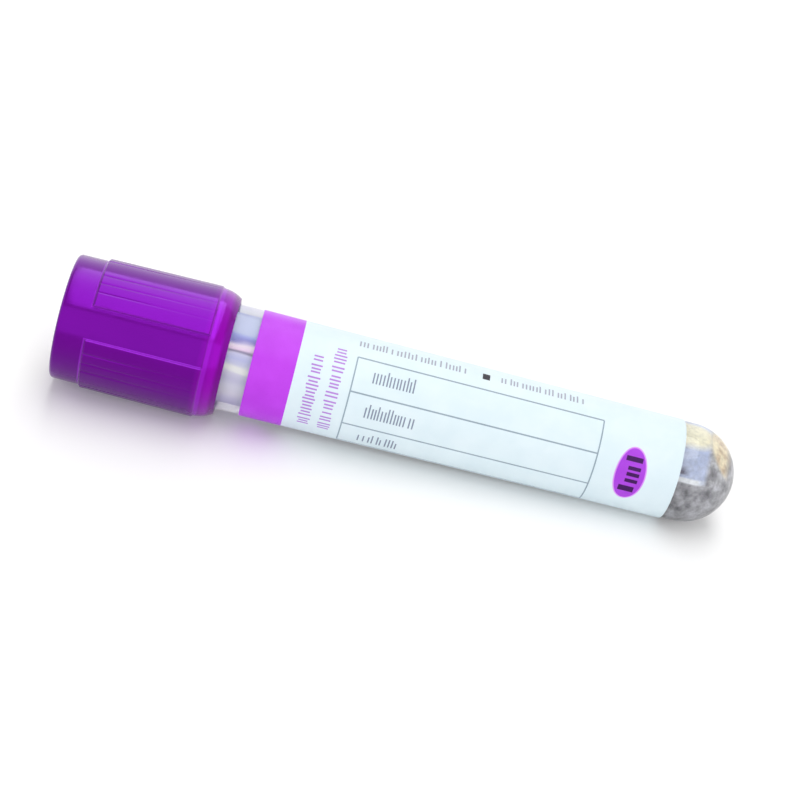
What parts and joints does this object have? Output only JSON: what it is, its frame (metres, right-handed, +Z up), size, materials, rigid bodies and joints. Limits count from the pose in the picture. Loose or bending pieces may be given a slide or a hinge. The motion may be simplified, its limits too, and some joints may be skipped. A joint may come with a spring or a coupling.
{
  "type": "blood collection tube",
  "caption": "Round-bottom blood collection tube lying on its side, with a purple pull-off closure, rubber stopper, wrapped label and spray-dried additive.",
  "frame": {"origin": "centre of the bounding box's lowest face, on the surface that the tube lies on", "axes": "+Z up, +X from the cap towards the round end; the tube's axis leans up by about 1.7 degrees towards the cap at -X"},
  "size_m": [0.0836, 0.0162, 0.0162],
  "materials": {
    "clear_plastic": "clear gloss",
    "purple_plastic": "gloss",
    "grey_rubber": "matte",
    "label_film": "satin",
    "dried_spray": "mottled"
  },
  "bodies": {
    "vial": {"tube": "clear_plastic", "label": "label_film", "dried_additive": "dried_spray"},
    "closure": {"cap": "purple_plastic", "stopper": "grey_rubber"}
  },
  "joints": [
    {"name": "closure_pull", "type": "slide", "parent": "vial", "child": "closure", "axis": [-0.9995, 0, 0.03], "range_m": [0, 0.025]}
  ]
}
